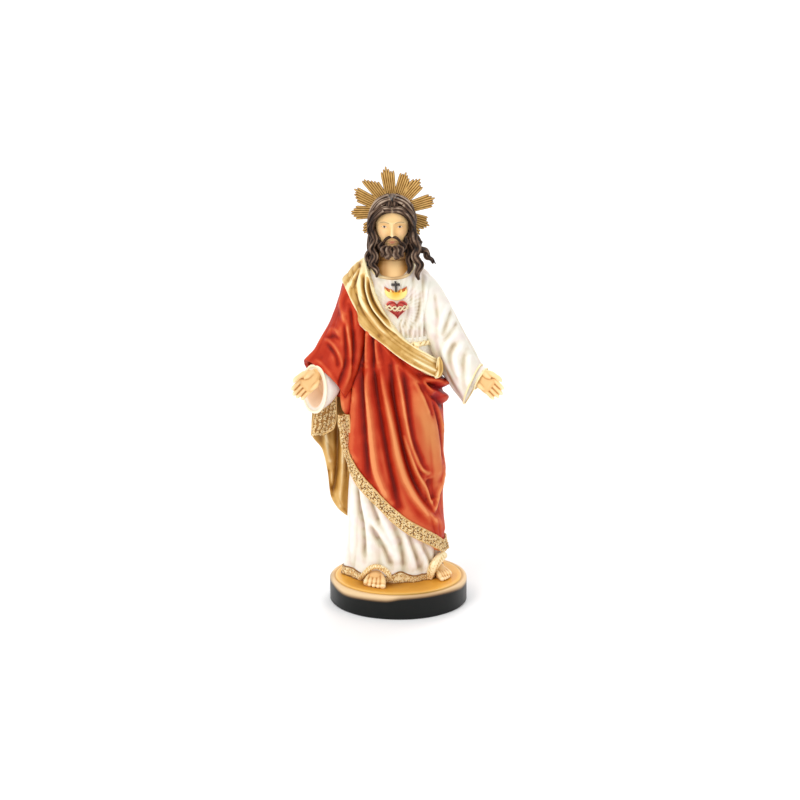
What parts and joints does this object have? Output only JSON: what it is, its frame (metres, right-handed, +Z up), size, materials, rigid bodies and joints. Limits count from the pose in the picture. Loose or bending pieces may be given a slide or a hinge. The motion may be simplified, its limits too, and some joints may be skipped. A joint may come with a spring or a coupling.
{
  "type": "sacred heart statue",
  "caption": "Standing robed figure with open hands, a heart emblem on the chest and a ray halo behind the head, cast with its oval base.",
  "frame": {"origin": "centre of the base's flat underside", "axes": "+Z up through the figure, -Y the way the figure faces, +X towards the figure's own left hand"},
  "size_m": [0.1427, 0.09, 0.3009],
  "materials": {
    "statue": "hand-painted stone-filled resin, satin: red mantle, white tunic, gold linings, black and amber base",
    "halo": "antique gold paint with dark grooves, satin"
  },
  "bodies": {
    "root": {"statue": "statue", "halo": "halo"}
  },
  "joints": []
}
